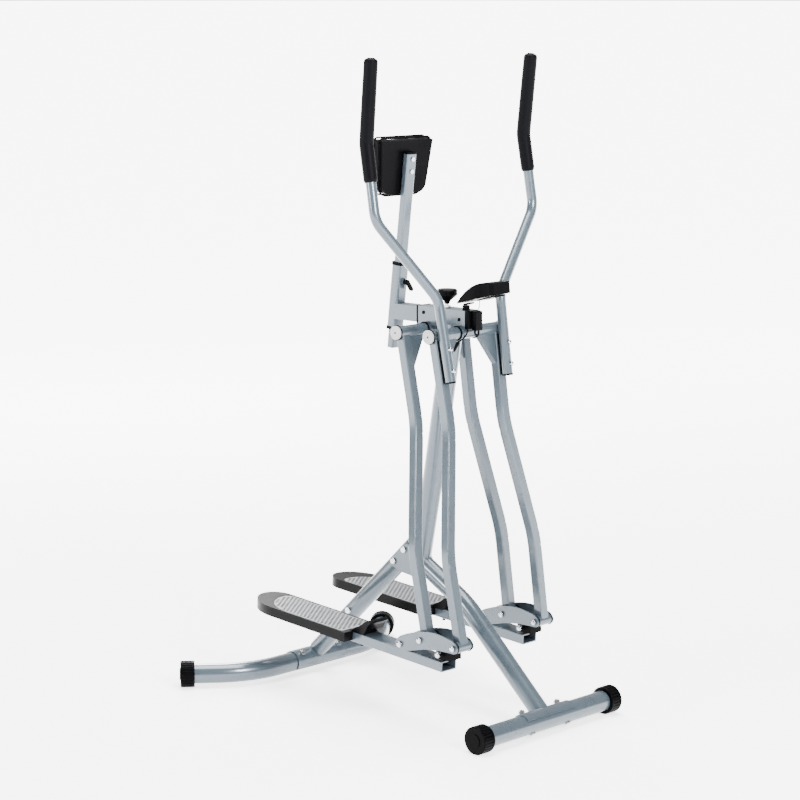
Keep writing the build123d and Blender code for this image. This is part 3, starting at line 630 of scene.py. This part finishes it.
def plate_of(name, loops):
    """A closed solid through loops of the same number of points, capped at both ends."""
    count = len(loops[0])
    points = [point for loop in loops for point in loop]
    faces = [tuple(range(count)), tuple(range((len(loops) - 1) * count, len(loops) * count))]
    for level in range(len(loops) - 1):
        for step in range(count):
            following = (step + 1) % count
            low, high = level * count, (level + 1) * count
            faces.append((low + step, low + following, high + following, high + step))
    return add_mesh(name, points, faces, smooth=False)


SLOT_LENGTH, SLOT_WIDTH, SLOT_CORNER = 0.0068, 0.0026, 0.0012
SLOT_LEVELS = (-0.0002, 0.00012)
SLOT_COUNT, SLOT_GAP = 11, 0.0115
# The black capsules are painted shade for the open slots, not a part of the bar.
for side in (-1, 1):
    row_piece = plate_of("bar_slots_" + SIDES[side], [
        rounded_rectangle(SLOT_LENGTH, SLOT_WIDTH, SLOT_CORNER, level) for level in SLOT_LEVELS])
    run_tree(row_piece, slots, {"Count": SLOT_COUNT, "Gap": SLOT_GAP, "Material": FINISH["black_plastic"]})
    row_piece.data.transform(bar_matrix(side) @ Matrix.Translation((0.010, -side * 0.0205, BAR_HEIGHT)))
    finish_piece(row_piece, "black_plastic", "link_" + SIDES[side])
print("Slots in each bar", SLOT_COUNT)

# %% [markdown]
# ## Bolt heads
# The CAD bolts are plain discs. Domed zinc heads catch the light, so a small lathed dome is set on the
# bolts of the two links and of the handles. Their places and directions are points with a normal, and
# Geometry Nodes turns one dome to face along each normal.

# %% Domes on points
domes, domes_in, domes_out = new_tree(
    "Bolt heads",
    [("Dome", "NodeSocketObject"), ("Material", "NodeSocketMaterial")],
)
dome_shape = link(domes, domes_in.outputs["Dome"], domes.nodes.new("GeometryNodeObjectInfo"), "Object")
facing = domes.nodes.new("GeometryNodeInputNamedAttribute")
facing.data_type = "FLOAT_VECTOR"
facing.inputs["Name"].default_value = "facing"
sizing = domes.nodes.new("GeometryNodeInputNamedAttribute")
sizing.data_type = "FLOAT"
sizing.inputs["Name"].default_value = "size"
aligned = domes.nodes.new("FunctionNodeAlignRotationToVector")
aligned.axis = "Z"
link(domes, facing.outputs["Attribute"], aligned, "Vector")
heads = link(domes, domes_in.outputs["Geometry"], domes.nodes.new("GeometryNodeInstanceOnPoints"), "Points")
link(domes, dome_shape.outputs["Geometry"], heads, "Instance")
link(domes, aligned.outputs["Rotation"], heads, "Rotation")
link(domes, sizing.outputs["Attribute"], heads, "Scale")
heads_real = link(domes, heads.outputs["Instances"],
                  domes.nodes.new("GeometryNodeRealizeInstances"), "Geometry")
heads_zinc = link(domes, heads_real.outputs["Geometry"],
                  domes.nodes.new("GeometryNodeSetMaterial"), "Geometry")
link(domes, domes_in.outputs["Material"], heads_zinc, "Material")
domes.links.new(heads_zinc.outputs["Geometry"], domes_out.inputs["Geometry"])

DOME_PROFILE = [(0.94, -0.02), (1.0, 0.05), (0.93, 0.22), (0.74, 0.36), (0.42, 0.45), (0.12, 0.48)]
dome = add_mesh("bolt_dome", *lathe(DOME_PROFILE, 20))


def bolt_heads(name, body, places):
    """places holds (centre, direction, radius) for each head."""
    mesh = bpy.data.meshes.new(name)
    mesh.from_pydata([centre for centre, _, _ in places], [], [])
    mesh.attributes.new("facing", "FLOAT_VECTOR", "POINT")
    mesh.attributes.new("size", "FLOAT", "POINT")
    for index, (_, direction, radius) in enumerate(places):
        mesh.attributes["facing"].data[index].vector = direction
        mesh.attributes["size"].data[index].value = radius
    piece = bpy.data.objects.new(name, mesh)
    bpy.context.collection.objects.link(piece)
    run_tree(piece, domes, {"Dome": dome, "Material": FINISH["fastener"]})
    for attribute in ("facing", "size"):
        if attribute in piece.data.attributes:
            piece.data.attributes.remove(piece.data.attributes[attribute])
    return finish_piece(piece, "fastener", body)


LINK_BOLTS = [(0, 0), (0.108, 0), (0.174, -0.0215), (0.047, -0.023)]
HANDLE_DOWN = -0.0282
for side in (-1, 1):
    origin = link_origin(side)
    bolt_heads("link_bolt_heads_" + SIDES[side], "link_" + SIDES[side], [
        (origin + Vector((way * 0.0327, y, z)), Vector((way, 0, 0)), 0.0072)
        for y, z in LINK_BOLTS for way in (-1, 1)])
    turn = LEAN[side]
    forward = Vector((0, -math.cos(turn), math.sin(turn)))
    bolt_heads("handle_bolt_heads_" + SIDES[side], "swing_" + SIDES[side], [
        (arm_point(side, side * 0.104, down, HANDLE_DOWN - 0.0125 - 0.0049), forward, 0.0051)
        for down in (0.036, 0.088)])
bpy.data.objects.remove(dome)

# %% [markdown]
# ## Washers at the lower pivots
# A black washer sits at each end of the arms' lower tubes. It is a short lathed ring, turned from
# its own axis to the machine's width.

# %% Black washers


def ring_profile(inner, outer, half):
    return [(inner, -half), (outer - 0.0004, -half), (outer, -half + 0.0004), (outer, half - 0.0004),
            (outer - 0.0004, half), (inner, half)]


def turned_ring(profile, segments=40):
    points, faces = lathe(profile, segments)
    faces = faces[:-2]
    last = (len(profile) - 1) * segments
    for step in range(segments):
        following = (step + 1) % segments
        faces.append((step, last + step, last + following, following))
    return points, faces


ACROSS = Matrix.Rotation(math.pi / 2, 4, "Y")
WASHER_SIZE = (0.0137, 0.0151, 0.0011)
WASHER_OUT = 0.0229
for side in (-1, 1):
    for arm, gap in (("swing_", 0.0), ("rear_arm_", ARM_GAP)):
        points, faces = [], []
        for way in (-1, 1):
            ring_points, ring_faces = turned_ring(ring_profile(*WASHER_SIZE))
            shift = Matrix.Translation(link_origin(side) + Vector((way * WASHER_OUT, gap, 0))) @ ACROSS
            faces += [tuple(index + len(points) for index in face) for face in ring_faces]
            points += [shift @ point for point in ring_points]
        washers = add_mesh("low_washers_" + arm + SIDES[side], points, faces)
        sharp_by_angle(washers)
        finish_piece(washers, "black_plastic", arm + SIDES[side])
print("Washers added")

# %% [markdown]
# ## Centres of the white pivot caps
# Every white cap has a moulded ring and a small hole in the middle. Two lathed pieces, a fraction of a
# millimetre proud, give them: a white ring, and a black button that is painted shade for the hole's dark
# inside.

# %% Cap details
CAP_FACE = 0.1295
CAP_RING = [(0.0098, -0.0004), (0.0108, 0.0003), (0.0112, 0.0004), (0.0116, 0.0003), (0.0126, -0.0004)]
# Profile of the black button: painted shade for the hole in the cap's centre.
CAP_HOLE_SHADE = [(0.0026, -0.0012), (0.0026, 0.0002), (0.0020, 0.0003), (0.0004, 0.0001)]
for side in (-1, 1):
    points, faces, dark_points, dark_faces = [], [], [], []
    outward = Matrix.Rotation(side * math.pi / 2, 4, "Y")
    for gap in (0.0, ARM_GAP):
        face_at = Matrix.Translation(PIVOT + Vector((side * CAP_FACE, gap, 0))) @ outward
        ring_points, ring_faces = turned_ring(CAP_RING)
        faces += [tuple(index + len(points) for index in face) for face in ring_faces]
        points += [face_at @ point for point in ring_points]
        shade_disc_points, shade_disc_faces = lathe(CAP_HOLE_SHADE, 20)
        dark_faces += [tuple(index + len(dark_points) for index in face) for face in shade_disc_faces]
        dark_points += [face_at @ point for point in shade_disc_points]
    rings = add_mesh("cap_rings_" + SIDES[side], points, faces)
    finish_piece(rings, "pivot_white", "frame")
    # Painted shade: the black button stands in for the dark inside of the centre hole.
    hole_shades = add_mesh("cap_centres_" + SIDES[side], dark_points, dark_faces)
    finish_piece(hole_shades, "black_plastic", "frame")
print("Cap details added")

# %% [markdown]
# ## The two leads
# A thin wire comes down from the console to the sensor box, and a thicker lead runs from the beam's
# front cap to a plug on the post. Each is a NURBS curve whose control points are the CAD route's
# corners, so it hangs in one smooth sweep.

# %% The leads


def lead(name, route, thickness):
    curve = bpy.data.curves.new(name, "CURVE")
    curve.dimensions = "3D"
    curve.bevel_depth = thickness / 2
    curve.bevel_resolution = 4
    curve.resolution_u = 16
    curve.use_fill_caps = True
    spline = curve.splines.new("NURBS")
    spline.points.add(len(route) - 1)
    for point, place in zip(spline.points, route):
        point.co = (*place, 1.0)
    spline.order_u = 3
    spline.use_endpoint_u = True
    piece = bpy.data.objects.new(name, curve)
    bpy.context.collection.objects.link(piece)
    piece.data.materials.append(FINISH["cord_black"])
    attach(piece, "frame")
    return piece


console_route = [(-0.008, -0.238, 1.0174), (-0.009, -0.241, 1.006), (-0.002, -0.232, 0.997),
                 (-0.004, -0.227, 0.9883)]
sensor_route = [(-0.016, -0.209, 0.9443), (-0.019, -0.208, 0.924), (-0.0143, -0.1784, 0.9119)]
console_lead = lead("console_lead", console_route, 0.002)
sensor_lead = lead("sensor_lead", sensor_route, 0.0036)
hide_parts("console_cord")
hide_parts("sensor_cord")

# %% [markdown]
# A small black hook hangs under the sensor box. It is a piece of ring: a short tube swept round
# three quarters of a circle.

# %% The hook under the sensor box
hook_centre = Vector((0.0, -0.222, 0.9365))
hook_places = [hook_centre + Vector((0, 0.0052 * math.cos(angle), 0.0062 * math.sin(angle)))
               for angle in [math.radians(110 - 9 * step) for step in range(27)]]
hook = sweep_rings("sensor_hook", hook_places, [0.0024] * len(hook_places), 14)
finish_piece(hook, "black_plastic", "frame")

# %% [markdown]
# ## The stomach pad
# A padded board is foam under stretched vinyl. The foam pushes the vinyl out, the seam round the
# edge holds it in, and the corners end up slightly pinched. Cloth simulation with an inner pressure
# gives that swelling, and a cap on how far a point may move keeps the pad to its real size. The
# piping that hides the seam is added afterwards, because the remesh would swallow it.

# %% Inflate a copy of the pad's solid
PAD_CAP = 0.006


def inflate(node_name, name, voxel, shrink, cap, frames=20):
    source = nodes[node_name]
    piece = bpy.data.objects.new(name, source.data.copy())
    bpy.context.collection.objects.link(piece)
    piece.data.materials.clear()
    shape = bmesh.new()
    shape.from_mesh(piece.data)
    bmesh.ops.remove_doubles(shape, verts=shape.verts, dist=1e-5)
    bmesh.ops.recalc_face_normals(shape, faces=shape.faces)
    shape.normal_update()
    for vertex in shape.verts:
        vertex.co -= vertex.normal * shrink
    shape.to_mesh(piece.data)
    shape.free()
    remesh = piece.modifiers.new("Even mesh", "REMESH")
    remesh.mode = "VOXEL"
    remesh.voxel_size = voxel
    settle(piece)
    start = [vertex.co.copy() for vertex in piece.data.vertices]
    cloth = piece.modifiers.new("Cloth", "CLOTH")
    cloth.settings.use_pressure = True
    cloth.settings.uniform_pressure_force = 4.0
    cloth.settings.effector_weights.gravity = 0.0
    cloth.settings.quality = 5
    cloth.point_cache.frame_end = frames
    for step in range(1, frames + 1):
        bpy.context.scene.frame_set(step)
    settle(piece)
    for vertex, origin in zip(piece.data.vertices, start):
        step = vertex.co - origin
        if step.length > cap:
            vertex.co = origin + step.normalized() * cap
    bpy.context.scene.frame_set(1)
    add_subdivision(piece, 1)
    settle(piece)
    piece.data.shade_smooth()
    return piece


cushion = inflate("pad_cushion", "stomach_pad", 0.005, 0.003, PAD_CAP)
finish_piece(cushion, "pad_vinyl", "pad", "pad_cushion")
print("Pad points", len(cushion.data.vertices))

# %% [markdown]
# The seam between the pad's cover and its back is hidden by piping, a thin cord sewn all round. It
# follows the pad's outline, so it is swept along the outline's points, which lie in the pad's own
# leaning plane.

# %% The pad's piping
PAD_LEAN = math.radians(6.83)
PAD_LOW_POST = Vector((0, 0.057, 0.874))
PAD_UP = Vector((0, -math.sin(PAD_LEAN), math.cos(PAD_LEAN)))
PAD_BACK = Vector((0, math.cos(PAD_LEAN), math.sin(PAD_LEAN)))


def pad_outline(shrink, behind):
    """Points round the pad, narrower below, at a distance behind the post's axis."""
    low, high = 0.374 + shrink, 0.518 - shrink
    half_low, half_high = 0.080 - shrink, 0.093 - shrink
    corners = [(-half_low, low, 0.034), (half_low, low, 0.034),
               (half_high, high, 0.014), (-half_high, high, 0.014)]
    points = []
    for index, (x, up, radius) in enumerate(corners):
        here = Vector((x, up, 0))
        before = Vector((*corners[index - 1][:2], 0))
        after = Vector((*corners[(index + 1) % 4][:2], 0))
        to_before, to_after = (before - here).normalized(), (after - here).normalized()
        half = to_before.angle(to_after) / 2
        centre = here + (to_before + to_after).normalized() * (radius / math.sin(half))
        start = here + to_before * (radius / math.tan(half)) - centre
        end = here + to_after * (radius / math.tan(half)) - centre
        sweep = start.angle(end)
        for step in range(9):
            share = step / 8
            turned = start * math.sin((1 - share) * sweep) + end * math.sin(share * sweep)
            points.append(centre + turned / math.sin(sweep))
    return [PAD_LOW_POST + Vector((point.x, 0, 0)) + PAD_UP * point.y + PAD_BACK * behind for point in points]


def closed_tube(name, places, radius, segments=12):
    points, faces = [], []
    count = len(places)
    for index, place in enumerate(places):
        ahead = (places[(index + 1) % count] - places[index - 1]).normalized()
        out = ahead.cross(PAD_BACK).normalized()
        for step in range(segments):
            angle = 2 * math.pi * step / segments
            points.append(place + (out * math.cos(angle) + PAD_BACK * math.sin(angle)) * radius)
    for ring in range(count):
        for step in range(segments):
            following = (step + 1) % segments
            low, high = ring * segments, (ring + 1) % count * segments
            faces.append((low + step, low + following, high + following, high + step))
    return add_mesh(name, points, faces)


PIPING_RADIUS, PIPING_INSET = 0.0022, 0.0018
for name, behind in (("pad_piping_front", 0.0222), ("pad_piping_back", 0.0400)):
    piping = closed_tube(name, pad_outline(PIPING_INSET, behind), PIPING_RADIUS)
    finish_piece(piping, "pad_vinyl", "pad")

# %% [markdown]
# ## Floor, light and camera
# A plain pale floor reaches so far that it is the backdrop too, and it glows more with distance, so
# no horizon shows. Big soft lamps stand above and to both sides, and the world adds an even fill,
# which gives the gentle highlights that paint and zinc need.

# %% Floor and backdrop
paper = bpy.data.materials.new("Studio paper")
paper.use_nodes = True
paper_shader = paper.node_tree.nodes["Principled BSDF"]
paper_shader.inputs["Base Color"].default_value = (0.9, 0.9, 0.9, 1)
paper_shader.inputs["Roughness"].default_value = 0.95
paper_shader.inputs["Specular IOR Level"].default_value = 0.0
paper_shader.inputs["Emission Color"].default_value = (1.0, 1.0, 1.0, 1)
where = paper.node_tree.nodes.new("ShaderNodeTexCoord")
away = paper.node_tree.nodes.new("ShaderNodeVectorMath")
away.operation = "LENGTH"
paper.node_tree.links.new(where.outputs["Object"], away.inputs[0])
glow = paper.node_tree.nodes.new("ShaderNodeMapRange")
glow.interpolation_type = "SMOOTHSTEP"
for socket, value in (("From Min", 0.6), ("From Max", 7.0), ("To Min", 2.2), ("To Max", 7.5)):
    glow.inputs[socket].default_value = value
paper.node_tree.links.new(away.outputs["Value"], glow.inputs["Value"])
paper.node_tree.links.new(glow.outputs["Result"], paper_shader.inputs["Emission Strength"])
FLOOR_REACH, FLOOR_LEVEL = 1500, -0.0005
floor_corners = [(x * FLOOR_REACH, y * FLOOR_REACH, FLOOR_LEVEL)
                 for x, y in ((-1, -1), (1, -1), (1, 1), (-1, 1))]
floor = add_mesh("studio_floor", floor_corners, [(0, 1, 2, 3)])
floor.data.materials.append(paper)

# %% Lamps and world


def softbox(name, place, target, size, power):
    lamp = bpy.data.lights.new(name, "AREA")
    lamp.shape = "SQUARE"
    lamp.size = size
    lamp.energy = power
    holder = bpy.data.objects.new(name, lamp)
    holder.location = place
    holder.rotation_euler = (Vector(target) - Vector(place)).to_track_quat("-Z", "Y").to_euler()
    bpy.context.collection.objects.link(holder)


softbox("overhead_light", (0.3, 0.2, 4.4), (0, 0, 0.5), 3.2, 620)
softbox("key_light", (-1.0, -4.6, 3.0), (0, 0, 0.7), 1.3, 520)
softbox("side_light", (-4.8, 1.4, 2.2), (0, 0, 0.8), 1.0, 240)
softbox("back_light", (2.4, 4.2, 3.2), (0, 0, 0.7), 1.6, 420)
world = bpy.data.worlds.new("Studio")
bpy.context.scene.world = world
world.use_nodes = True
world.node_tree.nodes["Background"].inputs["Color"].default_value = (1, 1, 1, 1)
world.node_tree.nodes["Background"].inputs["Strength"].default_value = 0.7

# %% Camera
CAMERA_PLACE = Vector((-4.160, -4.084, 1.721))
CAMERA_TURN = math.radians(-45.29)
CAMERA_TILT = math.radians(9.48)
SENSOR_WIDTH = 36.0
FOCAL_SHARE = 3.007
lens = bpy.data.cameras.new("camera")
lens.sensor_width = SENSOR_WIDTH
lens.lens = FOCAL_SHARE * SENSOR_WIDTH
lens.clip_end = 6000
camera = bpy.data.objects.new("camera", lens)
bpy.context.collection.objects.link(camera)
camera.location = CAMERA_PLACE
camera.rotation_euler = (math.pi / 2 - CAMERA_TILT, 0, CAMERA_TURN)
bpy.context.scene.camera = camera
